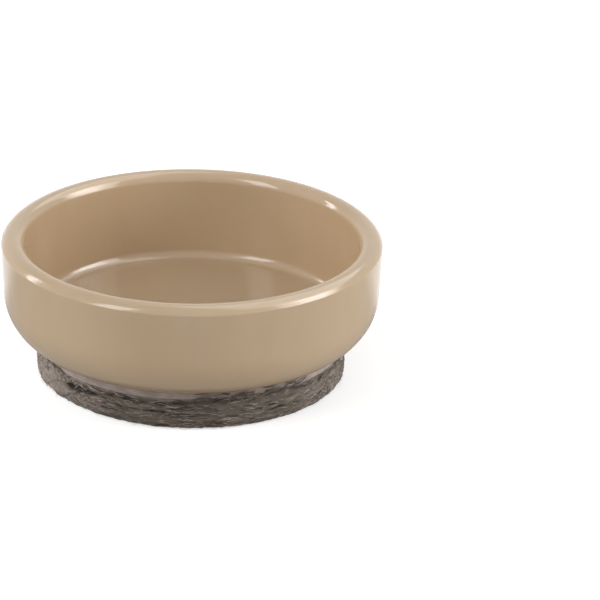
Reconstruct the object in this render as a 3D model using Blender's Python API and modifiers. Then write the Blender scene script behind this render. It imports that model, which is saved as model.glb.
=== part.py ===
"""Felt-bottomed caster cup: a moulded cup for a furniture leg, an adhesive disc and a felt pad.

The cup stands on the floor on its felt, with its open side up. The origin is at the centre of
the felt's underside, on the floor, and +Z is the cup's axis. All sizes are in metres.
"""

import math

import bpy

# Moulded cup
RIM_DIAMETER = 0.0500  # outside, across the widest part of the rim
CUP_HEIGHT = 0.0142  # from the cup's underside to the top of its rim
WALL_THICKNESS = 0.0030
FLOOR_THICKNESS = 0.0023
WALL_DRAFT_DEG = 2.8  # the outside wall leans in towards the floor, so that it leaves its mould
BORE_DRAFT_DEG = 2.5  # the inside wall leans the same way
OUTER_CORNER_RADIUS = 0.0068  # the rounded corner under the wall
INNER_CORNER_RADIUS = 0.0013  # the fillet between the inside wall and the seat
RIM_CROWN_RADIUS = 0.00175  # the rim's outer rounding, from its crest down to the edge
RIM_EDGE_RADIUS = 0.0003  # the soft edge where that rounding meets the outside wall
RIM_EDGE_START_DEG = 28.0  # how steep the rounding still is where the edge takes over

# Adhesive disc between the cup and the felt
ADHESIVE_THICKNESS = 0.0005  # under the flat of the cup; its edge is thicker, under the cup's corner
ADHESIVE_INSET = 0.0002  # how far its edge stands back from the felt's edge

# Felt pad
FELT_DIAMETER = 0.0406
FELT_THICKNESS = 0.0041
FELT_FOOT_RADIUS = 0.0009  # the worn edge that meets the floor
FELT_TOP_RADIUS = 0.0004  # the die-cut edge under the adhesive

# Gap left between two bonded faces, which keeps the solids apart
BOND_GAP = 0.0001

# Facets
TURN_STEPS = 72  # around the axis
ARC_STEPS = 5  # along a quarter turn of a small radius
CORNER_STEPS = 8  # along the large outer corner
EDGE_STEPS = 2  # along the rim's soft edge
FLARE_STEPS = 4  # along the adhesive's top where it follows the cup's corner

ASSEMBLY_NAME = "caster_cup"


def clear_scene():
    for obj in list(bpy.data.objects):
        bpy.data.objects.remove(obj, do_unlink=True)


def make_assembly():
    """A collection for the parts and an empty that carries them."""
    collection = bpy.data.collections.new(ASSEMBLY_NAME)
    bpy.context.scene.collection.children.link(collection)
    carrier = bpy.data.objects.new(ASSEMBLY_NAME + "_carrier", None)
    collection.objects.link(carrier)
    return collection, carrier


def make_material(name, colour, roughness):
    material = bpy.data.materials.new(name)
    material.use_nodes = True
    shader = material.node_tree.nodes["Principled BSDF"]
    shader.inputs["Base Color"].default_value = (*colour, 1.0)
    shader.inputs["Roughness"].default_value = roughness
    shader.inputs["Metallic"].default_value = 0.0
    material.diffuse_color = (*colour, 1.0)
    return material


def arc(centre, radius, start_deg, end_deg, steps):
    """Points (r, z) along an arc, both ends included. 0 degrees points away from the axis, 90 up."""
    turns = [start_deg + (end_deg - start_deg) * i / steps for i in range(steps + 1)]
    return [
        (
            centre[0] + radius * math.cos(math.radians(turn)),
            centre[1] + radius * math.sin(math.radians(turn)),
        )
        for turn in turns
    ]


def turned_part(name, profile, base_height, material, collection, carrier):
    """A solid of revolution. The profile is (r, z) from the axis at its top to the axis at its foot."""
    mesh = bpy.data.meshes.new(name)
    points = [(r, 0.0, z) for r, z in profile]
    mesh.from_pydata(points, [(i, i + 1) for i in range(len(points) - 1)], [])
    mesh.materials.append(material)
    part = bpy.data.objects.new(name, mesh)
    collection.objects.link(part)
    part.parent = carrier
    part.location.z = base_height

    turn = part.modifiers.new("Turn", "SCREW")
    turn.axis = "Z"
    turn.angle = math.tau
    turn.steps = TURN_STEPS
    turn.render_steps = TURN_STEPS
    turn.use_smooth_shade = True
    turn.use_merge_vertices = True
    turn.merge_threshold = 1e-6
    return part


def rim_centres():
    """The rim's crest and the centres (r, z) of its crown and of the edge that meets the outside wall."""
    start = math.radians(RIM_EDGE_START_DEG)
    across = (RIM_CROWN_RADIUS - RIM_EDGE_RADIUS) * math.cos(start)
    rise = (RIM_CROWN_RADIUS - RIM_EDGE_RADIUS) * math.sin(start)
    crest = RIM_DIAMETER / 2 - RIM_EDGE_RADIUS - across
    crown_centre = (crest, CUP_HEIGHT - RIM_CROWN_RADIUS)
    edge_centre = (crest + across, crown_centre[1] + rise)
    return crest, crown_centre, edge_centre


def outer_corner_centre():
    """The centre of the outer corner, whose arc is tangent to the leaning wall and to the underside."""
    lean = math.radians(WALL_DRAFT_DEG)
    edge_centre = rim_centres()[2]
    gap = (RIM_EDGE_RADIUS - OUTER_CORNER_RADIUS) / math.cos(lean)
    drop = edge_centre[1] - OUTER_CORNER_RADIUS
    return (edge_centre[0] + gap - drop * math.tan(lean), OUTER_CORNER_RADIUS)


def cup_profile():
    """The moulded cup, from the middle of the seat over the rim to the middle of the underside."""
    # The rim's two roundings meet at its crest, and its inner one takes what is left of the wall.
    crest, crown_centre, edge_centre = rim_centres()
    rim_inner_radius = WALL_THICKNESS - (RIM_DIAMETER / 2 - crest)
    rim_inner_centre = (crest, CUP_HEIGHT - rim_inner_radius)

    # The fillet's arc is tangent to the leaning inside wall and to the seat.
    inner_lean = math.radians(BORE_DRAFT_DEG)
    fillet_height = FLOOR_THICKNESS + INNER_CORNER_RADIUS
    fillet_drop = rim_inner_centre[1] - fillet_height
    bore_gap = (rim_inner_radius + INNER_CORNER_RADIUS) / math.cos(inner_lean)
    fillet_centre = (
        rim_inner_centre[0] - bore_gap - fillet_drop * math.tan(inner_lean),
        fillet_height,
    )

    seat_middle = [(0.0, FLOOR_THICKNESS)]
    fillet = arc(fillet_centre, INNER_CORNER_RADIUS, -90, -BORE_DRAFT_DEG, ARC_STEPS)
    rim_inner = arc(rim_inner_centre, rim_inner_radius, 180 - BORE_DRAFT_DEG, 90, ARC_STEPS)
    crown = arc(crown_centre, RIM_CROWN_RADIUS, 90, RIM_EDGE_START_DEG, ARC_STEPS)
    edge = arc(edge_centre, RIM_EDGE_RADIUS, RIM_EDGE_START_DEG, -WALL_DRAFT_DEG, EDGE_STEPS)
    corner = arc(outer_corner_centre(), OUTER_CORNER_RADIUS, -WALL_DRAFT_DEG, -90, CORNER_STEPS)
    underside_middle = [(0.0, 0.0)]
    return seat_middle + fillet + rim_inner + crown[1:] + edge[1:] + corner + underside_middle


def adhesive_profile():
    """The adhesive disc, whose top follows the cup's rounded corner out to the disc's edge."""
    edge = FELT_DIAMETER / 2 - ADHESIVE_INSET
    corner_r, corner_z = outer_corner_centre()
    under_corner = OUTER_CORNER_RADIUS + BOND_GAP
    end_deg = -math.degrees(math.acos((edge - corner_r) / under_corner))
    centre = (corner_r, corner_z + BOND_GAP + ADHESIVE_THICKNESS)
    top = arc(centre, under_corner, -90, end_deg, FLARE_STEPS)
    return [(0.0, ADHESIVE_THICKNESS)] + top + [(edge, 0.0), (0.0, 0.0)]


def disc_profile(diameter, thickness, top_radius, foot_radius):
    """A flat disc with rounded edges, from the middle of its top to the middle of its foot."""
    edge = diameter / 2
    top = arc((edge - top_radius, thickness - top_radius), top_radius, 90, 0, ARC_STEPS)
    foot = arc((edge - foot_radius, foot_radius), foot_radius, 0, -90, ARC_STEPS)
    return [(0.0, thickness)] + top + foot + [(0.0, 0.0)]


def build():
    clear_scene()
    collection, carrier = make_assembly()

    # The stack is worked out upwards from the floor.
    adhesive_base = FELT_THICKNESS + BOND_GAP
    cup_base = adhesive_base + ADHESIVE_THICKNESS + BOND_GAP

    turned_part(
        "felt_pad",
        disc_profile(FELT_DIAMETER, FELT_THICKNESS, FELT_TOP_RADIUS, FELT_FOOT_RADIUS),
        0.0,
        make_material("grey_wool_felt", (0.36, 0.33, 0.31), 0.95),
        collection,
        carrier,
    )
    turned_part(
        "adhesive_disc",
        adhesive_profile(),
        adhesive_base,
        make_material("grey_adhesive", (0.33, 0.29, 0.28), 0.5),
        collection,
        carrier,
    )
    turned_part(
        "cup",
        cup_profile(),
        cup_base,
        make_material("beige_plastic", (0.50, 0.39, 0.26), 0.22),
        collection,
        carrier,
    )


build()
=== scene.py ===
import math

import bpy
import numpy as np
from mathutils import Matrix, Quaternion, Vector


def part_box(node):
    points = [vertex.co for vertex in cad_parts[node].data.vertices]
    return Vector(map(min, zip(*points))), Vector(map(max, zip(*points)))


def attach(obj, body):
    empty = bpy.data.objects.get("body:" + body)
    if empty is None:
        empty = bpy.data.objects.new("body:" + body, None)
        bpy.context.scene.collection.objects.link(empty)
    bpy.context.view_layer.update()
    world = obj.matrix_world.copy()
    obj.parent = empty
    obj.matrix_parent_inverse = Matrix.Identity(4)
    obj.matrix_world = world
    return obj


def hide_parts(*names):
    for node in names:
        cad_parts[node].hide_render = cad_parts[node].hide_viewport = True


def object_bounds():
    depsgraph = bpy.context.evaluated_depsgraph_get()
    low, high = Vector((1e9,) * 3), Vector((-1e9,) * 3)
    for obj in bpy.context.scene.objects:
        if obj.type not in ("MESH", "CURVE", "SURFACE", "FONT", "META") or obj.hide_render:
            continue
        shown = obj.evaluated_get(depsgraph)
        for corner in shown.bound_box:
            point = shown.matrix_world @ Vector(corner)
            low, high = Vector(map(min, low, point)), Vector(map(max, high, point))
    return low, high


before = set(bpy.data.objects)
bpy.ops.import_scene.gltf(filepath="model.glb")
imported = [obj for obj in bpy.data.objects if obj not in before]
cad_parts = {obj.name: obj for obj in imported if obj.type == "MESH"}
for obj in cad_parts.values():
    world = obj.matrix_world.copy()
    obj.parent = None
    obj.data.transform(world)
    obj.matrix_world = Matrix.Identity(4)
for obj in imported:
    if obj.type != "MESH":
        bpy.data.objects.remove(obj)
cadLow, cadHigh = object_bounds()
print("frame loaded, nodes:", ", ".join(sorted(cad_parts)))

mm = 0.001
front = -90.0  # the side that faces the camera, in degrees round the axis from +X


# shared shape helpers

def arcPoints(centre, radius, startDeg, endDeg, steps):
    # (r, z) points along an arc, both ends included
    turns = np.radians(np.linspace(startDeg, endDeg, steps + 1))
    return np.stack([centre[0] + radius * np.cos(turns), centre[1] + radius * np.sin(turns)], axis=1)


def linePoints(start, end, steps):
    # the points after start, up to and including end
    share = np.linspace(0.0, 1.0, steps + 1)[1:, None]
    return np.array(start) + (np.array(end) - np.array(start)) * share


def circlePoints(turns):
    # points on a circle of radius 1 round the axis
    return np.stack([np.cos(turns), np.sin(turns), 0.0 * turns], axis=-1)


def profileNormals(profile):
    # unit normals of an (r, z) profile that runs from the top over the outside to the foot
    along = np.gradient(profile, axis=0)
    normals = np.stack([-along[:, 1], along[:, 0]], axis=1)
    return normals / np.linalg.norm(normals, axis=1, keepdims=True)


def spinProfile(profile, steps):
    # rings of points, one ring for each profile point, and the turn of each step in radians
    turns = np.arange(steps) * math.tau / steps
    rings = np.empty((len(profile), steps, 3))
    rings[:, :, 0] = profile[:, :1] * np.cos(turns)
    rings[:, :, 1] = profile[:, :1] * np.sin(turns)
    rings[:, :, 2] = profile[:, 1:]
    return rings, turns


def smoothNoise(points, size, seed):
    # soft random values from -1 to 1 that change over about one size
    repeat = 32  # the pattern starts again after this many sizes
    table = np.random.default_rng(seed).uniform(-1.0, 1.0, (repeat, repeat, repeat))
    scaled = np.asarray(points) / size
    cell = np.floor(scaled).astype(int)
    part = scaled - cell
    part = part * part * (3.0 - 2.0 * part)
    total = 0.0
    for corner in np.ndindex(2, 2, 2):
        weight = 1.0
        for axis in range(3):
            weight = weight * (part[..., axis] if corner[axis] else 1.0 - part[..., axis])
        spot = (cell + np.array(corner)) % repeat
        total = total + weight * table[spot[..., 0], spot[..., 1], spot[..., 2]]
    return total


def closeRings(name, rings, topPole, footPole):
    # one closed mesh: the rings skinned together, with a point on the axis at each end
    count, steps = rings.shape[:2]
    points = np.concatenate([rings.reshape(-1, 3), [topPole, footPole]])
    here = np.arange(steps)
    after = (here + 1) % steps
    faces = []
    for ring in range(count - 1):
        a, b = ring * steps, (ring + 1) * steps
        faces += np.stack([a + here, b + here, b + after, a + after], axis=1).tolist()
    last = (count - 1) * steps
    faces += np.stack([np.full(steps, count * steps), here, after], axis=1).tolist()
    faces += np.stack([np.full(steps, count * steps + 1), last + after, last + here], axis=1).tolist()
    mesh = bpy.data.meshes.new(name)
    mesh.from_pydata(points.tolist(), [], faces)
    mesh.shade_smooth()
    mesh.validate()
    return mesh


def paintPoints(mesh, name, values):
    # one value for each point of the mesh, which its material reads by name
    layer = mesh.attributes.new(name, "FLOAT", "POINT")
    layer.data.foreach_set("value", values.astype(np.float32))


def paintRings(mesh, name, values):
    # the same for a mesh of closed rings, with 0 at both poles
    paintPoints(mesh, name, np.append(values.ravel(), [0.0, 0.0]))


def frameRadius(node):
    low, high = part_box(node)
    return max(high.x - low.x, high.y - low.y) / 2


def addPiece(name, mesh, material, slotName, *nodes):
    piece = bpy.data.objects.new(name, mesh)
    bpy.context.scene.collection.objects.link(piece)
    mesh.materials.append(material)
    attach(piece, "root")
    if nodes:
        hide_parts(*nodes)
    return piece


# shared material helpers

def newMaterial(name):
    material = bpy.data.materials.new(name)
    material.use_nodes = True
    tree = material.node_tree
    return material, tree, tree.nodes["Principled BSDF"]


def addNode(tree, kind, **settings):
    node = tree.nodes.new(kind)
    for key, value in settings.items():
        setattr(node, key, value)
    return node


def feed(tree, socket, value):
    # a colour or a number is set on the socket itself, and a node's output is linked to it
    if isinstance(value, tuple):
        socket.default_value = (*value, 1.0)
    elif isinstance(value, (int, float)):
        socket.default_value = value
    else:
        tree.links.new(value, socket)


def stretchedSpot(tree, stretch=(1.0, 1.0, 1.0), turn=(0.0, 0.0, 0.0)):
    # object coordinates, turned and stretched
    spot = addNode(tree, "ShaderNodeTexCoord")
    mapping = addNode(tree, "ShaderNodeMapping")
    mapping.inputs["Scale"].default_value = stretch
    mapping.inputs["Rotation"].default_value = [math.radians(v) for v in turn]
    tree.links.new(spot.outputs["Object"], mapping.inputs["Vector"])
    return mapping.outputs["Vector"]


def noiseValue(tree, spot, size, detail=3.0, rough=0.5, distort=0.0):
    # size is the width of one blotch in metres
    node = addNode(tree, "ShaderNodeTexNoise")
    node.inputs["Scale"].default_value = 1.0 / size
    node.inputs["Detail"].default_value = detail
    node.inputs["Roughness"].default_value = rough
    node.inputs["Distortion"].default_value = distort
    tree.links.new(spot, node.inputs["Vector"])
    return node.outputs["Fac"]


def attributeValue(tree, name):
    return addNode(tree, "ShaderNodeAttribute", attribute_name=name).outputs["Fac"]


def rangeValue(tree, value, low, high, newLow=0.0, newHigh=1.0):
    # the value eased from one range into another
    node = addNode(tree, "ShaderNodeMapRange", interpolation_type="SMOOTHSTEP")
    tree.links.new(value, node.inputs["Value"])
    sockets = ("From Min", "From Max", "To Min", "To Max")
    for socket, number in zip(sockets, (low, high, newLow, newHigh)):
        node.inputs[socket].default_value = number
    return node.outputs["Result"]


def mathValue(tree, operation, first, second=0.0):
    node = addNode(tree, "ShaderNodeMath", operation=operation)
    feed(tree, node.inputs[0], first)
    feed(tree, node.inputs[1], second)
    return node.outputs["Value"]


def blendValues(tree, first, firstShare, second, secondShare):
    firstPart = mathValue(tree, "MULTIPLY", first, firstShare)
    secondPart = mathValue(tree, "MULTIPLY", second, secondShare)
    return mathValue(tree, "ADD", firstPart, secondPart)


def mixColour(tree, share, first, second):
    node = addNode(tree, "ShaderNodeMix", data_type="RGBA")
    feed(tree, node.inputs[0], share)
    feed(tree, node.inputs[6], first)  # 6, 7 and the output 2 are the node's colour sockets
    feed(tree, node.inputs[7], second)
    return node.outputs[2]


def bumpNormal(tree, height, depth, strength=1.0, under=None):
    node = addNode(tree, "ShaderNodeBump")
    node.inputs["Strength"].default_value = strength
    node.inputs["Distance"].default_value = depth
    tree.links.new(height, node.inputs["Height"])
    if under is not None:
        tree.links.new(under, node.inputs["Normal"])
    return node.outputs["Normal"]


# camera

cameraSetup = {
    "lens": 360.0,  # mm: a long lens from a little way off
    "sensor": 36.0,
    "tilt": 22.70,  # degrees above the floor
    "roll": 0.98,
    "distance": 0.79323,
    "aimRight": 14.43 * mm,  # the middle of the picture, right of the foot's centre
    "aimUp": 9.05 * mm,  # and above it, in the picture's own plane
    "clip": (0.01, 20.0),
}


def makeCamera():
    tilt, roll = math.radians(cameraSetup["tilt"]), math.radians(cameraSetup["roll"])
    back = Vector((0.0, -math.cos(tilt), math.sin(tilt)))
    levelUp = Vector((0.0, math.sin(tilt), math.cos(tilt)))
    levelRight = Vector((1.0, 0.0, 0.0))
    right = levelRight * math.cos(roll) + levelUp * math.sin(roll)
    up = levelUp * math.cos(roll) - levelRight * math.sin(roll)
    data = bpy.data.cameras.new("camera")
    data.lens = cameraSetup["lens"]
    data.sensor_width = cameraSetup["sensor"]
    data.clip_start, data.clip_end = cameraSetup["clip"]
    camera = bpy.data.objects.new("camera", data)
    bpy.context.scene.collection.objects.link(camera)
    spot = right * cameraSetup["aimRight"] + up * cameraSetup["aimUp"] + back * cameraSetup["distance"]
    camera.matrix_world = Matrix.Translation(spot) @ Matrix((right, up, back)).transposed().to_4x4()
    bpy.context.scene.camera = camera
    print("camera set")


makeCamera()


# moulded cup

cupShape = {
    "wall": 3.0 * mm,
    "floor": 2.3 * mm,
    "outerLean": 2.8,  # degrees, both walls lean in towards the floor
    "innerLean": 2.5,
    "outerCorner": 6.8 * mm,
    "innerCorner": 1.3 * mm,
    "rimCrown": 1.75 * mm,  # the rim's broad rounding, outwards from its crest
    "rimEdge": 0.30 * mm,  # the tighter one where the crown meets the wall
    "rimTurn": 28.0,  # degrees above level, where the first gives way to the second
    "steps": 320,
    "arcSteps": 14,
    "rimSteps": 16,
    "edgeSteps": 8,
    "cornerSteps": 24,
    "seatSteps": 12,
    "wallSteps": 10,
    "underSteps": 6,
}

cupFinish = {
    "beige": (0.505, 0.376, 0.243),
    "warmer": (0.49, 0.356, 0.223),
    "cloudSize": 14 * mm,  # broad clouds of the two
    "flowSize": 2.6 * mm,  # and streaks from the moulding, drawn out upwards
    "dustColour": (0.22, 0.17, 0.13),
    "dustSpacing": 3.2 * mm,
    "dustPicked": (0.90, 0.91),  # only cells above this get a speck
    "dustRadius": (0.02, 0.035),  # in spacings, from its middle to its soft edge
    "shine": (0.10, 0.17),  # roughness, from its smooth places to its dull ones
    "smearSize": 5 * mm,
    "scuffSize": 0.35 * mm,
    "rippleSize": 3.0 * mm,
    "rippleDepth": 0.012 * mm,
    "grainSize": 0.22 * mm,
    "grainDepth": 0.002 * mm,
    "ior": 1.55,
    "glow": 0.06,  # how much light goes a little way into the plastic
    "glowReach": (0.0022, 0.0013, 0.0007),
}


def cupProfile():
    # the outline from the middle of the seat over the rim to the middle of the underside
    low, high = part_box("cup")
    base, top, edge = low.z, high.z, frameRadius("cup")
    shape = cupShape
    outerLean, innerLean = math.radians(shape["outerLean"]), math.radians(shape["innerLean"])

    # the rim's crown and its edge, and a narrow rounding inside that takes what is left of the wall
    crown, sharp, turn = shape["rimCrown"], shape["rimEdge"], math.radians(shape["rimTurn"])
    reach = (crown - sharp) * math.cos(turn)
    innerRound = shape["wall"] - reach - sharp
    rimCrest = edge - reach - sharp
    crownCentre = (rimCrest, top - crown)
    edgeCentre = (rimCrest + reach, crownCentre[1] + (crown - sharp) * math.sin(turn))
    innerCentre = (rimCrest, top - innerRound)

    # both corners run into the leaning wall above them
    corner = base + shape["outerCorner"]
    cornerIn = (shape["outerCorner"] - sharp) / math.cos(outerLean)
    cornerIn += (edgeCentre[1] - corner) * math.tan(outerLean)
    cornerCentre = (edgeCentre[0] - cornerIn, corner)
    fillet = base + shape["floor"] + shape["innerCorner"]
    filletIn = (innerRound + shape["innerCorner"]) / math.cos(innerLean)
    filletIn += (innerCentre[1] - fillet) * math.tan(innerLean)
    filletCentre = (innerCentre[0] - filletIn, fillet)

    filletArc = arcPoints(filletCentre, shape["innerCorner"], -90, -shape["innerLean"], shape["arcSteps"])
    innerArc = arcPoints(innerCentre, innerRound, 180 - shape["innerLean"], 90, shape["arcSteps"])
    crownArc = arcPoints(crownCentre, crown, 90, shape["rimTurn"], shape["rimSteps"])[1:]
    edgeArc = arcPoints(edgeCentre, sharp, shape["rimTurn"], -shape["outerLean"], shape["edgeSteps"])[1:]
    cornerArc = arcPoints(cornerCentre, shape["outerCorner"], -shape["outerLean"], -90, shape["cornerSteps"])
    seat = base + shape["floor"]
    inner = linePoints((0.0, seat), filletArc[0], shape["seatSteps"])[:-1]
    bore = linePoints(filletArc[-1], innerArc[0], shape["wallSteps"])[:-1]
    wall = linePoints(edgeArc[-1], cornerArc[0], shape["wallSteps"])[:-1]
    under = linePoints(cornerArc[-1], (0.0, base), shape["underSteps"])[:-1]
    profile = np.concatenate([inner, filletArc, bore, innerArc, crownArc, edgeArc, wall, cornerArc, under])
    return profile, (0.0, 0.0, seat), (0.0, 0.0, base), cornerCentre


def cupPlastic():
    material, tree, shader = newMaterial("mouldedBeige")
    finish = cupFinish
    plain = stretchedSpot(tree)
    cloud = noiseValue(tree, plain, finish["cloudSize"], detail=2.0)
    drawnUp = stretchedSpot(tree, (1.0, 1.0, 0.3))
    flow = noiseValue(tree, drawnUp, finish["flowSize"], detail=4.0, rough=0.6)
    tone = blendValues(tree, cloud, 0.7, flow, 0.3)
    colour = mixColour(tree, rangeValue(tree, tone, 0.35, 0.65), finish["warmer"], finish["beige"])

    # a few specks of dust, each in its own cell
    cells = addNode(tree, "ShaderNodeTexVoronoi")
    cells.inputs["Scale"].default_value = 1.0 / finish["dustSpacing"]
    tree.links.new(plain, cells.inputs["Vector"])
    pick = addNode(tree, "ShaderNodeSeparateColor")
    tree.links.new(cells.outputs["Color"], pick.inputs["Color"])
    chosen = rangeValue(tree, pick.outputs["Red"], *finish["dustPicked"])
    speck = rangeValue(tree, cells.outputs["Distance"], *finish["dustRadius"], 1.0, 0.0)
    dust = mathValue(tree, "MULTIPLY", chosen, speck)
    colour = mixColour(tree, mathValue(tree, "MULTIPLY", dust, 0.5), colour, finish["dustColour"])
    tree.links.new(colour, shader.inputs["Base Color"])

    # handling marks dull the shine a little
    smear = noiseValue(tree, plain, finish["smearSize"], detail=3.0, distort=0.8)
    askew = stretchedSpot(tree, (0.12, 1.0, 1.0), (12.0, 8.0, 34.0))
    scuff = noiseValue(tree, askew, finish["scuffSize"], detail=2.0)
    dull = blendValues(tree, smear, 0.75, scuff, 0.25)
    shine = rangeValue(tree, dull, 0.38, 0.66, *finish["shine"])
    shine = mathValue(tree, "ADD", shine, mathValue(tree, "MULTIPLY", dust, 0.3))
    tree.links.new(shine, shader.inputs["Roughness"])

    # the mould's faint ripple and grain
    ripple = noiseValue(tree, plain, finish["rippleSize"], detail=1.0)
    grain = noiseValue(tree, plain, finish["grainSize"], detail=2.0)
    wave = bumpNormal(tree, ripple, finish["rippleDepth"], 0.2)
    tree.links.new(bumpNormal(tree, grain, finish["grainDepth"], 0.25, wave), shader.inputs["Normal"])
    shader.inputs["IOR"].default_value = finish["ior"]
    shader.inputs["Subsurface Weight"].default_value = finish["glow"]
    shader.inputs["Subsurface Radius"].default_value = finish["glowReach"]
    shader.inputs["Subsurface Scale"].default_value = 1.0
    return material


def makeCup():
    profile, seatPole, footPole, cornerCentre = cupProfile()
    rings = spinProfile(profile, cupShape["steps"])[0]
    mesh = closeRings("mouldedCup", rings, seatPole, footPole)
    addPiece("mouldedCup", mesh, cupPlastic(), "cup_plastic", "cup")
    print("cup:", len(mesh.polygons), "faces")
    return cornerCentre


cupCorner = makeCup()


# wool round the pad's edge
# turn is from the front, + to the right, and spread is half of its run, in degrees

paleWoolAndLitSide = [  # pale patches over the layers of the cut edge: the broad one on the left side is painted light, and the smaller ones are pale tone at random
    {"turn": -84.0, "spread": 58.0, "share": 1.0},
    {"turn": 64.0, "spread": 24.0, "share": 0.4},
    {"turn": 140.0, "spread": 34.0, "share": 0.7},
    {"turn": -170.0, "spread": 24.0, "share": 0.5},
]

risenWool = [  # wool stands up over the adhesive's edge
    {"turn": -86.0, "spread": 34.0, "share": 0.8},
    {"turn": 24.0, "spread": 26.0, "share": 1.0},
    {"turn": 118.0, "spread": 20.0, "share": 0.8},
    {"turn": -148.0, "spread": 24.0, "share": 0.9},
]

wornFoot = [  # the foot is worn back
    {"turn": -44.0, "spread": 30.0, "share": 1.0},
    {"turn": 150.0, "spread": 40.0, "share": 0.6},
]

softEnds, sharpEnds = 1.6, 5.0  # how quickly a patch comes up from its two ends


def degreesAway(turns, turnFromFront):
    # how far turns in radians lie from a turn in degrees from the front, from -180 to 180
    fromFront = (np.degrees(turns) - front + 180.0) % 360.0 - 180.0
    return (fromFront - turnFromFront + 180.0) % 360.0 - 180.0


def patchShare(patches, turns, ends):
    # how much of such patches lies at a turn, from 0 to 1
    share = np.zeros(np.shape(turns))
    for patch in patches:
        away = np.abs(degreesAway(turns, patch["turn"]))
        near = np.clip((1.0 - away / patch["spread"]) * ends, 0.0, 1.0)
        share = np.maximum(share, near * patch["share"])
    return share


def raggedLine(turns, middle, *waves):
    # a value that wanders round the pad, by waves of (size, reach, seed)
    value = middle
    for size, reach, seed in waves:
        value = value + reach * smoothNoise(circlePoints(turns), size, seed)
    return value


def paleAndLitShare(turns):
    return patchShare(paleWoolAndLitSide, turns, softEnds)


def risenPatches(turns):
    return patchShare(risenWool, turns, sharpEnds)


def risenShare(turns):
    # the same patches with a ragged top, and a little wool everywhere else
    ragged = raggedLine(turns, 0.9, (0.05, 0.5, 36), (0.015, 0.3, 37))
    return np.maximum(risenPatches(turns), 0.06) * np.clip(ragged, 0.3, 1.15)


# adhesive layer

adhesiveShape = {
    "bond": 0.02 * mm,  # left under the cup, whose rounded corner its top follows
    "edgeRound": 0.10 * mm,
    "squeeze": 0.12 * mm,  # how unevenly its edge is pressed out
    "drawnBack": 2.4,  # and how many times that it stays back under risen wool
    "edgeFrom": 0.97,  # where the edge starts, and where its rings do, as shares of its radius
    "ringsFrom": 0.6,
    "steps": 360,
    "sideSteps": 8,
    "topSteps": 8,
    "roundSteps": 4,
}

adhesiveFinish = {
    "pale": (0.56, 0.46, 0.405),
    "grey": (0.27, 0.22, 0.19),
    "roughness": (0.42, 0.6),
    "blotchSize": 1.8 * mm,
    "fineSize": 0.25 * mm,
    "fineDepth": 0.03 * mm,
}


def makeAdhesive():
    shape, low = adhesiveShape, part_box("adhesive_disc")[0]
    edge, soft = frameRadius("adhesive_disc"), shape["edgeRound"]
    start = edge * shape["ringsFrom"]
    under = cupShape["outerCorner"] + shape["bond"]
    upTo = -math.degrees(math.acos((edge - soft - cupCorner[0]) / under))
    top = arcPoints(cupCorner, under, -90, upTo, shape["topSteps"])
    shoulder = arcPoints((top[-1][0], top[-1][1] - soft), soft, 70, 0, shape["roundSteps"])
    foot = arcPoints((edge - soft, low.z + soft), soft, 0, -90, shape["roundSteps"])
    inner = linePoints((start, top[0][1]), top[0], 4)[:-1]
    side = linePoints(shoulder[-1], foot[0], shape["sideSteps"])[:-1]
    below = linePoints(foot[-1], (start, low.z), 3)
    profile = np.concatenate([inner, top, shoulder, side, foot, below])
    rings, turns = spinProfile(profile, shape["steps"])

    # the edge is pressed out unevenly, and stays back where wool stands up over it
    press = smoothNoise(rings, 5.0 * mm, 11) * 0.6 + smoothNoise(rings, 1.3 * mm, 12) * 0.4
    press = press - shape["drawnBack"] * risenShare(turns)[None, :]
    onEdge = np.clip((profile[:, 0] / edge - shape["edgeFrom"]) / (1.0 - shape["edgeFrom"]), 0.0, 1.0)
    push = 1.0 + press * shape["squeeze"] * onEdge[:, None] / edge
    rings[:, :, :2] *= push[:, :, None]
    mesh = closeRings("adhesiveLayer", rings, (0.0, 0.0, top[0][1]), (0.0, 0.0, low.z))
    # the film is paler under the felt's pale patches: painted light on the left side, pale tone at random
    # elsewhere
    paintRings(mesh, "filmPaleAndLit", np.tile(paleAndLitShare(turns), len(profile)))
    addPiece("adhesiveLayer", mesh, adhesiveFilm(), "adhesive", "adhesive_disc")
    print("adhesive:", len(mesh.polygons), "faces")


def adhesiveFilm():
    material, tree, shader = newMaterial("greyAdhesive")
    finish = adhesiveFinish
    spot = stretchedSpot(tree, (1.0, 1.0, 2.0))
    blotch = noiseValue(tree, spot, finish["blotchSize"], detail=3.0)
    fine = noiseValue(tree, spot, finish["fineSize"], detail=2.0)
    mottle = rangeValue(tree, blendValues(tree, blotch, 0.75, fine, 0.25), 0.36, 0.66, 0.0, 0.45)
    # paler under the pale patches: painted light on the left side, pale tone at random elsewhere
    cover = mathValue(tree, "MULTIPLY", attributeValue(tree, "filmPaleAndLit"), 0.55)
    tone = mathValue(tree, "ADD", cover, mottle)
    tree.links.new(mixColour(tree, tone, finish["grey"], finish["pale"]), shader.inputs["Base Color"])
    rough = rangeValue(tree, blotch, 0.3, 0.7, *finish["roughness"])
    tree.links.new(rough, shader.inputs["Roughness"])
    tree.links.new(bumpNormal(tree, fine, finish["fineDepth"], 0.5), shader.inputs["Normal"])
    return material


makeAdhesive()


# felt pad

feltLow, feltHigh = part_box("felt_pad")
feltEdge = frameRadius("felt_pad")

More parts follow.
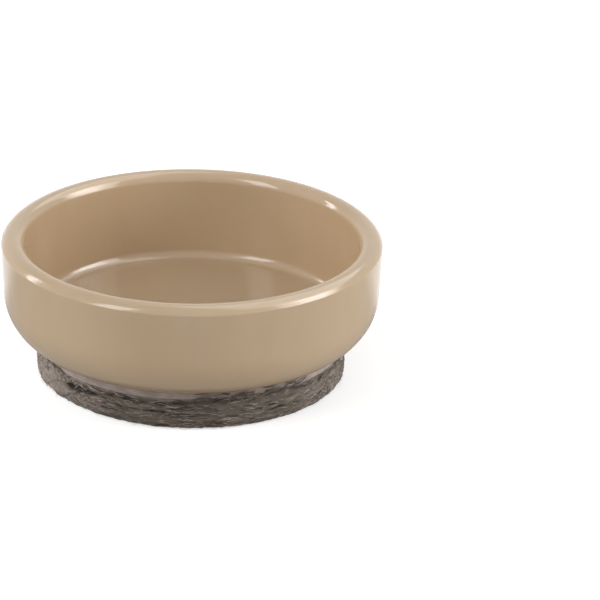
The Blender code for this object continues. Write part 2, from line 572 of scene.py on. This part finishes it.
feltShape = {
    "foot": 0.9 * mm,  # worn round edge on the floor
    "shoulder": 0.4 * mm,  # die-cut edge under the adhesive
    "nap": 0.10 * mm,  # the felt's own surface lies this far inside its strands
    "footNap": 0.07 * mm,  # and this far above the floor
    "wobble": 0.12 * mm,  # how far the die-cut outline strays
    "layers": 0.13 * mm,  # how deep the matted layers of the cut edge are
    "clumps": 0.09 * mm,  # and the clumps of the face
    "torn": 0.16 * mm,  # how far the edge is torn back under the adhesive
    "tornHeight": 0.75 * mm,
    "risen": 1.05 * mm,  # how far it stands up over the adhesive in places
    "risenDepth": (0.14 * mm, 0.9 * mm),  # how much of the edge goes up with it, inwards and down
    "worn": 0.30 * mm,  # how far its foot is worn back in places
    "wornHeight": 2.4 * mm,
    "bare": 0.35 * mm,  # no pale wool lies where a split is deeper than this
    "steps": 640,
    "sideSteps": 46,
    "faceSteps": 40,
    "innerSteps": 6,
    "shoulderSteps": 6,
    "footSteps": 12,
}

# splits between the felt's layers, with turn and spread as for the wool
# height is a share of the felt's thickness
feltSplits = [
    {"turn": -50.5, "spread": 4.5, "height": 0.68, "depth": 1.1 * mm, "gape": 0.36 * mm},
    {"turn": -20.0, "spread": 26.0, "height": 0.86, "depth": 0.15 * mm, "gape": 0.18 * mm},
    {"turn": 28.0, "spread": 34.0, "height": 0.88, "depth": 0.25 * mm, "gape": 0.20 * mm},
    {"turn": 110.0, "spread": 50.0, "height": 0.88, "depth": 0.5 * mm, "gape": 0.20 * mm},
    {"turn": -150.0, "spread": 45.0, "height": 0.88, "depth": 0.45 * mm, "gape": 0.20 * mm},
    {"turn": -12.0, "spread": 22.0, "height": 0.58, "depth": 0.4 * mm, "gape": 0.13 * mm},
    {"turn": 40.0, "spread": 18.0, "height": 0.45, "depth": 0.45 * mm, "gape": 0.13 * mm},
    {"turn": -34.0, "spread": 8.0, "height": 0.40, "depth": 0.4 * mm, "gape": 0.13 * mm},
    {"turn": 95.0, "spread": 28.0, "height": 0.36, "depth": 0.5 * mm, "gape": 0.15 * mm},
    {"turn": 165.0, "spread": 32.0, "height": 0.42, "depth": 0.5 * mm, "gape": 0.15 * mm},
    {"turn": -120.0, "spread": 20.0, "height": 0.33, "depth": 0.4 * mm, "gape": 0.13 * mm},
    {"turn": -43.0, "spread": 8.0, "height": 0.73, "depth": 1.1 * mm, "gape": 0.32 * mm},
]

# matted layers of the cut edge: their thickness, how they draw out round the pad, and their weight
feltLayers = [
    {"size": 0.34 * mm, "stretch": 0.16, "weight": 0.45, "seed": 21},
    {"size": 0.17 * mm, "stretch": 0.11, "weight": 0.45, "seed": 22},
    {"size": 0.09 * mm, "stretch": 0.14, "weight": 0.30, "seed": 23},
]

feltFinish = {
    "hair": (0.66, 0.61, 0.58),
    "pale": (0.50, 0.455, 0.43),
    "mid": (0.30, 0.27, 0.25),
    "dark": (0.09, 0.078, 0.070),
    # painted light where the layers stand out, and the colour of pale wool over the edge
    "edgePaleAndLit": (0.41, 0.342, 0.301),
    # painted shade: the cut edge's main colour is a darker copy of the felt's, for the shade under the cup's
    # overhang
    "edgeMidShaded": (0.155, 0.127, 0.099),
    # painted shade in the hollows between the layers and in splits
    "edgeHollowShade": (0.050, 0.042, 0.033),
    "cloudSize": 2.4 * mm,
    "clumpSize": 0.7 * mm,
    "strandSize": 0.28 * mm,
    "fineSize": 0.10 * mm,
    "curls": ((0.62 * mm, 0.0), (0.42 * mm, 40.0), (0.80 * mm, 75.0), (0.50 * mm, 110.0)),  # size, turn
    "curlWidth": (0.004, 0.020),  # from a hair's middle to its soft edge
    "bumpDepth": 0.25 * mm,
    "roughness": 0.95,
    "specular": 0.1,
    "sheen": 0.1,
    "sheenRoughness": 0.6,
}


def splitDepth(turns, heights):
    # how deep the splits are at a turn and height of the cut edge
    depth = np.zeros(np.shape(heights))
    for number, split in enumerate(feltSplits):
        away = degreesAway(turns, split["turn"])
        reach = np.clip(1.0 - (away / split["spread"]) ** 2, 0.0, 1.0) ** 0.6
        ragged = raggedLine(turns, 0.65, (0.05, 0.55, 40 + number))
        level = feltLow.z + (feltHigh.z - feltLow.z) * split["height"]
        middle = raggedLine(turns, level, (0.12, 0.16 * mm, 60 + number))
        gape = split["gape"] * np.clip(reach * ragged, 0.12, 1.0)
        across = np.exp(-((heights - middle) / gape) ** 2)
        depth = depth + across * split["depth"] * reach * np.clip(ragged, 0.0, 1.2)
    return depth


def wornBack(turns, heights):
    # how far the foot is worn back at a turn and height of the cut edge
    reach = np.clip(1.0 - (heights - feltLow.z) / feltShape["wornHeight"], 0.0, 1.0)
    return feltShape["worn"] * patchShare(wornFoot, turns, softEnds) * reach


def tornShare(heights, tornHeight):
    # how much of the tear under the adhesive reaches down to a height, from 0 to 1
    return np.clip((heights - feltHigh.z) / tornHeight + 1.0, 0.0, 1.0)


def layerNoise(rings):
    # flat matted layers, drawn out round the pad, from about -1 to 1
    lifted = rings.copy()
    lifted[..., 2] += smoothNoise(rings * np.array([0.25, 0.25, 0.3]), 0.9 * mm, 20) * 0.22 * mm
    total = 0.0
    for layer in feltLayers:
        drawnOut = lifted * np.array([layer["stretch"], layer["stretch"], 1.0])
        total = total + layer["weight"] * smoothNoise(drawnOut, layer["size"], layer["seed"])
    return total


def feltProfileLine():
    # the plain pad's outline from its top over the cut edge to the middle of its foot
    shape = feltShape
    foot, shoulder, rim = shape["foot"], shape["shoulder"], feltEdge - shape["nap"]
    floor = feltLow.z + shape["footNap"]
    topCentre, footCentre = (rim - shoulder, feltHigh.z - shoulder), (rim - foot, floor + foot)
    topArc = arcPoints(topCentre, shoulder, 90, 0, shape["shoulderSteps"])
    footArc = arcPoints(footCentre, foot, 0, -90, shape["footSteps"])
    inner = linePoints((feltEdge * 0.75, feltHigh.z), topArc[0], shape["innerSteps"])[:-1]
    side = linePoints(topArc[-1], footArc[0], shape["sideSteps"])[:-1]
    face = linePoints(footArc[-1], (0.25 * mm, floor), shape["faceSteps"])
    return np.concatenate([inner, topArc, side, footArc, face])


def feltSurface(profile):
    shape = feltShape
    normals = profileNormals(profile)
    rings, turns = spinProfile(profile, shape["steps"])
    heights = rings[:, :, 2]
    across = normals[:, :1] * np.ones(shape["steps"])
    upwards = normals[:, 1:] + 0.0 * across
    outward = np.stack([across * np.cos(turns), across * np.sin(turns), upwards], axis=2)
    onSide = np.clip(np.abs(normals[:, :1]) * 1.4 - 0.2, 0.0, 1.0)
    isTop = (profile[:, 1:] > feltHigh.z - 0.5 * shape["shoulder"]) & (normals[:, 1:] > 0.3)
    # the pale patches: painted light on the left side, pale tone at random elsewhere
    pale = paleAndLitShare(turns)[None, :]

    # matted layers on the cut edge, clumps on the face
    layers = layerNoise(rings)
    clumps = smoothNoise(rings, 1.1 * mm, 24) * 0.45 + smoothNoise(rings, 0.4 * mm, 25) * 0.35
    push = onSide * layers * shape["layers"] * (1.0 - 0.6 * pale)
    inFace = np.clip(profile[:, :1] / (2.0 * mm), 0.0, 1.0) * np.where(isTop, 0.0, 1.0)
    push = push + (1.0 - onSide) * clumps * shape["clumps"] * inFace

    # the edge is torn back a little under the adhesive, and split between its layers
    ragged = raggedLine(turns, 0.75, (0.06, 0.6, 33), (0.02, 0.4, 34))
    tornHeight = shape["tornHeight"] * np.clip(ragged, 0.25, 1.5)[None, :]
    torn = tornShare(heights, tornHeight) * (1.0 - 0.8 * pale) * (1.0 - risenPatches(turns))[None, :]
    split = splitDepth(turns[None, :] + 0.0 * heights, heights)
    hollow = torn * shape["torn"] + split
    push = push - hollow * onSide
    pale = pale * (1.0 - np.clip(split / shape["bare"], 0.0, 1.0))

    # the foot is worn back in places
    onFoot = np.clip(np.abs(normals[:, :1]) * 2.0, 0.0, 1.0)
    push = push - wornBack(turns[None, :], heights) * onFoot

    # how far each spot stands out of its neighbours; the wool's colour follows it with painted shade in
    # hollows and splits and painted light where it stands out
    rise = 0.5 + 0.55 * layers - hollow / (0.45 * mm)

    # the die-cut outline strays a little
    thickness = (rings[:, :, 2:] - feltLow.z) / (feltHigh.z - feltLow.z)
    spots = np.concatenate([rings[:, :, :2] / feltEdge, thickness], axis=2)
    stray = smoothNoise(circlePoints(turns), 0.35, 31)[None, :] * 0.6 + smoothNoise(spots, 0.3, 32) * 0.7
    push = push + stray * shape["wobble"] * onSide
    rings = rings + outward * push[:, :, None]

    # where wool stands up over the adhesive, the top of the edge is drawn up
    inwards, down = shape["risenDepth"]
    outer = np.clip((profile[:, :1] - (feltEdge - shape["nap"])) / inwards + 1.0, 0.0, 1.0)
    upper = np.clip((profile[:, 1:] - feltHigh.z) / down + 1.0, 0.0, 1.0)
    rings[:, :, 2] += risenShare(turns)[None, :] * shape["risen"] * outer * upper
    return rings, np.clip(rise, 0.0, 1.0), pale, onSide + 0.0 * rise


def feltWool():
    material, tree, shader = newMaterial("greyWoolFelt")
    finish = feltFinish
    plain = stretchedSpot(tree)
    combed = stretchedSpot(tree, (0.35, 0.35, 1.0))
    drawnOut = stretchedSpot(tree, (0.22, 0.22, 1.0))
    cloud = noiseValue(tree, plain, finish["cloudSize"], detail=3.0, rough=0.55)
    clump = noiseValue(tree, plain, finish["clumpSize"], detail=4.0, rough=0.65, distort=0.6)
    strand = noiseValue(tree, combed, finish["strandSize"], detail=3.0, rough=0.6, distort=0.4)
    fine = noiseValue(tree, drawnOut, finish["fineSize"], detail=2.0, rough=0.6)

    # the face: curling hairs are thin level lines of a warped noise, two of pale wool and two of dark
    hairs = []
    for size, turn in finish["curls"]:
        warped = stretchedSpot(tree, (1.0, 0.6, 0.9), (turn, turn * 0.5, turn))
        field = noiseValue(tree, warped, size, detail=2.0, rough=0.5, distort=1.8)
        nearLine = mathValue(tree, "ABSOLUTE", mathValue(tree, "SUBTRACT", field, 0.5))
        hairs.append(rangeValue(tree, nearLine, *finish["curlWidth"], 1.0, 0.0))
    pale = mathValue(tree, "MAXIMUM", hairs[0], mathValue(tree, "MULTIPLY", hairs[1], 0.85))
    deep = mathValue(tree, "MAXIMUM", hairs[2], hairs[3])
    tone = blendValues(tree, cloud, 0.5, clump, 0.3)
    tone = mathValue(tree, "ADD", tone, mathValue(tree, "MULTIPLY", strand, 0.2))
    colour = mixColour(tree, rangeValue(tree, tone, 0.40, 0.58), finish["mid"], finish["pale"])
    # painted shade: darker in the gaps between clumps and strands
    gapShade = rangeValue(tree, blendValues(tree, cloud, 0.4, strand, 0.6), 0.38, 0.48, 1.0, 0.0)
    for mark, strength, shade in ((gapShade, 0.35, "dark"), (deep, 0.45, "dark"), (pale, 0.65, "hair")):
        colour = mixColour(tree, mathValue(tree, "MULTIPLY", mark, strength), colour, finish[shade])

    # the cut edge takes a darker copy of the felt's colour: painted shade under the cup's overhang. It is
    # darker between the layers and in splits (painted shade) and paler where they stand out (painted light).
    # It is also paler under the pale patches, which are painted light on the left side and pale tone at
    # random elsewhere
    stands = blendValues(tree, attributeValue(tree, "woolRiseShade"), 0.65, fine, 0.35)
    shadedEdgeTone = mixColour(tree, rangeValue(tree, stands, 0.16, 0.48), finish["edgeHollowShade"], finish["edgeMidShaded"])
    shadedEdgeTone = mixColour(tree, rangeValue(tree, stands, 0.52, 0.80, 0.0, 0.6), shadedEdgeTone, finish["edgePaleAndLit"])
    covered = rangeValue(tree, stands, 0.02, 0.26, 0.5, 1.0)
    covered = mathValue(tree, "MULTIPLY", attributeValue(tree, "woolPaleAndLit"), covered)
    covered = mathValue(tree, "MULTIPLY", covered, rangeValue(tree, clump, 0.38, 0.52, 0.25, 1.0))
    shadedEdgeTone = mixColour(tree, covered, shadedEdgeTone, finish["edgePaleAndLit"])
    colour = mixColour(tree, attributeValue(tree, "woolEdgeShaded"), colour, shadedEdgeTone)
    tree.links.new(colour, shader.inputs["Base Color"])

    height = mathValue(tree, "ADD", tone, mathValue(tree, "MULTIPLY", pale, 0.25))
    height = mathValue(tree, "SUBTRACT", height, mathValue(tree, "MULTIPLY", gapShade, 0.3))
    tree.links.new(bumpNormal(tree, height, finish["bumpDepth"], 0.9), shader.inputs["Normal"])
    shader.inputs["Roughness"].default_value = finish["roughness"]
    shader.inputs["Specular IOR Level"].default_value = finish["specular"]
    shader.inputs["Sheen Weight"].default_value = finish["sheen"]
    shader.inputs["Sheen Roughness"].default_value = finish["sheenRoughness"]
    return material


def makeFelt():
    profile = feltProfileLine()
    rings, rise, pale, onEdge = feltSurface(profile)
    rings[:, :, 2] = np.maximum(rings[:, :, 2], feltLow.z + 0.01 * mm)  # nothing goes into the floor
    floor = float(rings[-1, :, 2].mean())
    mesh = closeRings("feltPad", rings, (0.0, 0.0, feltHigh.z), (0.0, 0.0, floor))
    # painted shade: the cut edge's mark tells the material where to give the edge its darker copy of the
    # felt's colour
    for name, values in (("woolRiseShade", rise), ("woolPaleAndLit", pale), ("woolEdgeShaded", onEdge)):
        paintRings(mesh, name, values)
    piece = addPiece("feltPad", mesh, feltWool(), "felt", "felt_pad")
    print("felt:", len(mesh.polygons), "faces")
    return rings, profile


feltRings, feltProfile = makeFelt()


# loose fibres on the felt

fuzz = {
    "strandCount": 2800,  # flat strands round the cut edge
    "strandLength": (0.5 * mm, 2.4 * mm),
    "strandThick": (0.022 * mm, 0.075 * mm),  # radius
    "strandLift": (0.02 * mm, 0.13 * mm),
    "strandRoot": 0.05 * mm,  # how deep its ends go into the felt
    "strandSlope": (0.12, 0.62),  # how much strands run up and down, outside the pale patches and in them
    "matted": 0.5,  # how much shorter they are in pale wool
    "strandStray": 0.12,  # the share of strands that also cross splits and tears
    "brightShare": 0.20,  # the share of pale strands outside the pale patches
    "hairCount": 1100,  # thin hairs on the cut edge
    "hairLift": 0.04 * mm,
    "hairRoot": 0.04 * mm,
    "hairCurl": 0.9,
    "footCount": 5000,  # and on the foot
    "footLift": 0.05 * mm,
    "footCurl": 2.6,
    "footThicker": 1.25,
    "footInset": 0.7 * mm,  # they stay this far inside the edge
    "length": (0.7 * mm, 2.6 * mm),
    "thick": (0.010 * mm, 0.022 * mm),
    "points": 7,
    "sides": 3,
    "dark": (0.050, 0.041, 0.032),
    "mid": (0.20, 0.165, 0.132),
    "pale": (0.62, 0.54, 0.49),
    "roughness": 0.8,
    "specular": 0.15,
}


def strandPaths(rng):
    # strands run round the pad, over the layers, and both ends go into the felt
    count, points = fuzz["strandCount"], fuzz["points"]
    edge = feltEdge - feltShape["nap"]
    turn = rng.uniform(0.0, math.tau, count)
    bottom = 0.15 * mm
    top = feltHigh.z + 0.10 * mm + feltShape["risen"] * risenShare(turn)
    height = feltLow.z + bottom + (top - feltLow.z - bottom) * rng.uniform(0.0, 1.0, count)

    # most of them keep off the splits and the torn edge
    torn = tornShare(height, feltShape["tornHeight"])
    torn = torn * (1.0 - np.maximum(paleAndLitShare(turn), risenPatches(turn)))
    keep = (splitDepth(turn, height) < 0.2 * mm) & (torn < rng.uniform(0.15, 1.6, count))
    keep = keep | (rng.uniform(0.0, 1.0, count) < fuzz["strandStray"])
    turn, height = turn[keep], height[keep]
    count = len(turn)

    share = np.linspace(0.0, 1.0, points)
    pale = paleAndLitShare(turn)[:, None]  # pale wool is matted rather than combed
    length = rng.uniform(*fuzz["strandLength"], count)[:, None]
    along = (share - 0.5) * length * (1.0 - fuzz["matted"] * pale)
    wave = rng.normal(0.0, 0.07 * mm, count)[:, None]
    wave = wave * np.sin(math.tau * (share + rng.uniform(0.0, 1.0, count)[:, None]))
    combed, matted = fuzz["strandSlope"]
    slope = rng.normal(0.0, 1.0, count)[:, None] * (combed + (matted - combed) * pale)
    rise = height[:, None] + slope * along + wave
    rise = np.clip(rise, feltLow.z + 0.06 * mm, feltHigh.z + feltShape["risen"])
    inFoot = np.clip((feltLow.z + feltShape["foot"] - rise) / feltShape["foot"], 0.0, 1.0)
    reach = edge - feltShape["foot"] * (1.0 - np.sqrt(1.0 - inFoot ** 2))
    lift = rng.uniform(*fuzz["strandLift"], count)[:, None] * np.sin(math.pi * share) - fuzz["strandRoot"]
    around = turn[:, None] + along / edge
    reach = reach + lift - wornBack(turn[:, None], rise)
    return np.stack([reach * np.cos(around), reach * np.sin(around), rise], axis=2), pale[:, 0]


def fibrePaths(roots, normals, combed, rng, lift, curl):
    # each path starts in the felt, lies along it and curls away a little
    count, points = len(roots), fuzz["points"]
    side = np.cross(normals, combed)
    length = rng.uniform(*fuzz["length"], count) * rng.uniform(0.5, 1.0, count)
    bend = rng.normal(0.0, curl, count)
    start = rng.normal(0.0, 0.5, count)
    rise = np.abs(rng.normal(0.0, lift, count))
    paths = np.empty((count, points, 3))
    spot = roots.copy()
    for number in range(points):
        share = number / (points - 1)
        paths[:, number] = spot + normals * (rise * math.sin(math.pi * 0.6 * share))[:, None]
        heading = start + bend * share
        step = combed * np.cos(heading)[:, None] + side * np.sin(heading)[:, None]
        spot = spot + step * (length / (points - 1))[:, None]
    return paths


def fibreMesh(name, paths, thick, tone):
    # thin tubes, thickest in the middle and pointed at both ends, with a tone of its own for each fibre
    count, points = paths.shape[:2]
    sides = fuzz["sides"]
    along = np.gradient(paths, axis=1)
    along /= np.linalg.norm(along, axis=2, keepdims=True)
    helper = np.where(np.abs(along[..., 2:]) < 0.8, [0.0, 0.0, 1.0], [1.0, 0.0, 0.0])
    across = np.cross(along, helper)
    across /= np.linalg.norm(across, axis=2, keepdims=True)
    over = np.cross(along, across)
    radius = thick[:, None] * np.sin(np.linspace(0.25, math.pi - 0.25, points))
    corners = np.arange(sides) * math.tau / sides
    ring = across[:, :, None] * np.cos(corners)[:, None] + over[:, :, None] * np.sin(corners)[:, None]
    verts = paths[:, :, None] + ring * radius[:, :, None, None]
    base = (np.arange(count) * points * sides)[:, None]
    faces = []
    for number in range(points - 1):
        for corner in range(sides):
            a = number * sides + corner
            b = number * sides + (corner + 1) % sides
            faces += (base + np.array([a, b, b + sides, a + sides])).tolist()
    last = (points - 1) * sides
    faces += (base + np.arange(sides)[::-1]).tolist()
    faces += (base + last + np.arange(sides)).tolist()
    mesh = bpy.data.meshes.new(name)
    mesh.from_pydata(verts.reshape(-1, 3).tolist(), [], faces)
    mesh.shade_smooth()
    paintPoints(mesh, "fibreTone", np.repeat(tone, points * sides))
    return mesh


def fibreWool():
    material, tree, shader = newMaterial("looseWool")
    ramp = addNode(tree, "ShaderNodeValToRGB")
    stops = ramp.color_ramp.elements
    stops[0].position, stops[0].color = 0.0, (*fuzz["dark"], 1.0)
    stops[1].position, stops[1].color = 1.0, (*fuzz["pale"], 1.0)
    stops.new(0.5).color = (*fuzz["mid"], 1.0)
    tree.links.new(attributeValue(tree, "fibreTone"), ramp.inputs["Fac"])
    worn = noiseValue(tree, stretchedSpot(tree), 0.5 * mm, detail=2.0)
    darker = rangeValue(tree, worn, 0.35, 0.6, 0.35, 0.0)
    shade = mixColour(tree, darker, ramp.outputs["Color"], fuzz["dark"])
    tree.links.new(shade, shader.inputs["Base Color"])
    shader.inputs["Roughness"].default_value = fuzz["roughness"]
    shader.inputs["Specular IOR Level"].default_value = fuzz["specular"]
    return material


def edgeStrands(rng):
    # strands over the layers of the cut edge
    paths, cover = strandPaths(rng)
    count = len(paths)
    thick = rng.uniform(*fuzz["strandThick"], count)
    isBright = rng.uniform(0.0, 1.0, count) < fuzz["brightShare"]
    # painted shade: strands on the cut edge get darker tones than the fibres on the foot, for the shade
    # under the cup's overhang
    tone = np.where(isBright, rng.uniform(0.75, 1.0, count), rng.beta(1.0, 1.7, count))
    # paler in the pale patches: painted light on the left side, pale tone at random elsewhere
    tone = np.clip(tone + cover * rng.uniform(0.1, 0.5, count), 0.35 * cover, 1.0)
    return fibreMesh("feltEdgeStrands", paths, thick, tone)


def edgeHairs(rng):
    # thin hairs on the cut edge, mostly round the pad
    count = fuzz["hairCount"]
    sideRows = np.flatnonzero(feltProfile[:, 0] > feltProfile[:, 0].max() - 0.5 * feltShape["foot"])
    rows = rng.choice(sideRows, count)
    columns = rng.integers(0, feltRings.shape[1], count)
    roots = feltRings[rows, columns]
    outward = roots * np.array([1.0, 1.0, 0.0])
    outward /= np.linalg.norm(outward, axis=1, keepdims=True)
    combed = np.cross([0.0, 0.0, 1.0], outward) * rng.choice([-1.0, 1.0], count)[:, None]
    roots = roots - outward * fuzz["hairRoot"]
    paths = fibrePaths(roots, outward, combed, rng, fuzz["hairLift"], fuzz["hairCurl"])
    paths[:, :, 2] = np.clip(paths[:, :, 2], feltLow.z + 0.03 * mm, feltHigh.z + 0.35 * mm)
    thick = rng.uniform(*fuzz["thick"], count)
    return fibreMesh("feltEdgeFibres", paths, thick, rng.uniform(0.3, 1.0, count))


def footFibres(rng):
    # fibres lie flat on the foot, in every direction
    count = fuzz["footCount"]
    footRows = np.flatnonzero(feltProfile[:, 1] < feltLow.z + 0.35 * mm)
    radius = feltProfile[footRows, 0]
    rows = rng.choice(footRows, count, p=radius / radius.sum())
    columns = rng.integers(0, feltRings.shape[1], count)
    down = np.tile([0.0, 0.0, -1.0], (count, 1))
    combed = circlePoints(rng.uniform(0.0, math.tau, count))
    paths = fibrePaths(feltRings[rows, columns], down, combed, rng, fuzz["footLift"], fuzz["footCurl"])
    paths[:, :, 2] = np.clip(paths[:, :, 2], feltLow.z + 0.025 * mm, feltLow.z + 0.12 * mm)
    reach = np.linalg.norm(paths[:, :, :2], axis=2)
    around = np.arctan2(paths[:, :, 1], paths[:, :, 0])
    limit = feltEdge - fuzz["footInset"] - wornBack(around, feltLow.z)
    paths[:, :, :2] *= np.minimum(1.0, limit / reach)[:, :, None]
    thick = rng.uniform(*fuzz["thick"], count) * fuzz["footThicker"]
    return fibreMesh("feltFaceFibres", paths, thick, rng.beta(1.2, 0.5, count))


def makeFuzz():
    rng = np.random.default_rng(77)
    wool = fibreWool()
    faces = 0
    for makeFibres in (edgeStrands, edgeHairs, footFibres):
        mesh = makeFibres(rng)
        addPiece(mesh.name, mesh, wool, "felt")
        faces += len(mesh.polygons)
    print("fibres:", faces, "faces")


makeFuzz()


# studio

studio = {
    "floorSize": 6.0,
    "floorColour": (0.60, 0.60, 0.60),
    "floorRoughness": 0.9,
    "floorLift": 0.62,  # keeps the lit floor white in the picture
    "floorMirrored": (13 * mm, 26 * mm),  # how far behind the cup its gloss starts to see the white floor
    "surround": (0.10, 0.74),  # light from all round on the object, from its dim side to its bright side
    "surroundFrom": (-0.8, 1.0),  # how far from the dim side to the bright one it changes
    "brightSide": (-0.87, -0.47, 0.15),
}

# turn is from the front, + to the right, and rise is above the floor, in degrees
# lean tips the lamp's top to the back, in degrees, and lights is gloss, matt or both
lamps = {
    "right": {
        "turn": 81.0, "rise": 25.0, "lean": 22.0, "distance": 0.8,
        "size": (0.28, 0.68), "power": 2.4, "lights": "gloss",
    },
    "rightEdge": {
        "turn": 78.0, "rise": 25.0, "lean": 22.0, "distance": 0.8,
        "size": (0.52, 0.80), "power": 5.5, "lights": "gloss",
    },
    "rightSoft": {
        "turn": 83.0, "rise": 17.0, "lean": 0.0, "distance": 0.8,
        "size": (0.40, 0.50), "power": 4.9, "lights": "matt",
    },
    "frontLeft": {
        "turn": -51.5, "rise": 37.0, "lean": 0.0, "distance": 0.8,
        "size": (0.25, 0.54), "power": 2.2, "lights": "both",
    },
    "left": {
        "turn": -111.0, "rise": 22.0, "lean": 25.0, "distance": 0.8,
        "size": (0.11, 0.46), "power": 1.2, "lights": "both",
    },
    "overhead": {
        "turn": 122.0, "rise": 58.0, "lean": 0.0, "distance": 0.9,
        "size": (1.0, 0.78), "power": 4.9, "lights": "gloss",
    },
    "backSoft": {
        "turn": 176.0, "rise": 17.0, "lean": 0.0, "distance": 1.0,
        "size": (1.0, 0.50), "power": 4.6, "lights": "matt",
    },
}


def seenRay(tree, strength, mirrored=1.0):
    # white that shows to the camera, and in gloss and glass by the mirrored share
    path = addNode(tree, "ShaderNodeLightPath")
    glossy, through = path.outputs["Is Glossy Ray"], path.outputs["Is Transmission Ray"]
    inGloss = mathValue(tree, "MULTIPLY", mathValue(tree, "MAXIMUM", glossy, through), mirrored)
    seen = mathValue(tree, "MAXIMUM", path.outputs["Is Camera Ray"], inGloss)
    return mathValue(tree, "MULTIPLY", seen, strength)


def alongValue(tree, spot, direction):
    # how far a spot or a direction goes along another direction
    node = addNode(tree, "ShaderNodeVectorMath", operation="DOT_PRODUCT")
    tree.links.new(spot, node.inputs[0])
    node.inputs[1].default_value = direction
    return node.outputs["Value"]


def makeFloor():
    half = studio["floorSize"] / 2
    corners = [(-half, -half, 0), (half, -half, 0), (half, half, 0), (-half, half, 0)]
    mesh = bpy.data.meshes.new("floor")
    mesh.from_pydata(corners, [], [(0, 1, 2, 3)])
    floor = bpy.data.objects.new("floor", mesh)
    bpy.context.scene.collection.objects.link(floor)
    material, tree, shader = newMaterial("paleFloor")
    shader.inputs["Base Color"].default_value = (*studio["floorColour"], 1.0)
    shader.inputs["Roughness"].default_value = studio["floorRoughness"]
    shader.inputs["Specular IOR Level"].default_value = 0.0
    shader.inputs["Emission Color"].default_value = (1.0, 1.0, 1.0, 1.0)
    place = addNode(tree, "ShaderNodeNewGeometry").outputs["Position"]
    towardsFront = math.radians(front)
    behind = alongValue(tree, place, (-math.cos(towardsFront), -math.sin(towardsFront), 0.0))
    mirrored = rangeValue(tree, behind, *studio["floorMirrored"])
    tree.links.new(seenRay(tree, studio["floorLift"], mirrored), shader.inputs["Emission Strength"])
    mesh.materials.append(material)


def makeWorld():
    world = bpy.data.worlds.new("whiteRoom")
    bpy.context.scene.world = world
    world.use_nodes = True
    tree = world.node_tree
    background = tree.nodes["Background"]
    background.inputs["Color"].default_value = (1.0, 1.0, 1.0, 1.0)
    direction = addNode(tree, "ShaderNodeTexCoord").outputs["Generated"]
    facing = alongValue(tree, direction, studio["brightSide"])
    surround = rangeValue(tree, facing, *studio["surroundFrom"], *studio["surround"])
    level = mathValue(tree, "MAXIMUM", seenRay(tree, 1.0), surround)
    tree.links.new(level, background.inputs["Strength"])


def makeLamps():
    for name, lamp in lamps.items():
        data = bpy.data.lights.new(name, "AREA")
        data.shape = "RECTANGLE"
        data.size, data.size_y = lamp["size"]
        data.energy = lamp["power"]
        lampObject = bpy.data.objects.new(name, data)
        bpy.context.scene.collection.objects.link(lampObject)
        turn, rise = math.radians(front + lamp["turn"]), math.radians(lamp["rise"])
        towards = Vector((math.cos(turn) * math.cos(rise), math.sin(turn) * math.cos(rise), math.sin(rise)))
        lampObject.location = towards * lamp["distance"] + Vector((0.0, 0.0, cadHigh.z / 2))
        lean = Quaternion((0.0, 0.0, 1.0), -math.copysign(math.radians(lamp["lean"]), lamp["turn"]))
        lampObject.rotation_euler = (towards.to_track_quat("Z", "Y") @ lean).to_euler()
        lampObject.visible_diffuse = lamp["lights"] != "gloss"
        lampObject.visible_glossy = lamp["lights"] != "matt"


makeFloor()
makeWorld()
makeLamps()
bpy.context.scene.view_settings.view_transform = "Standard"
print("studio ready")
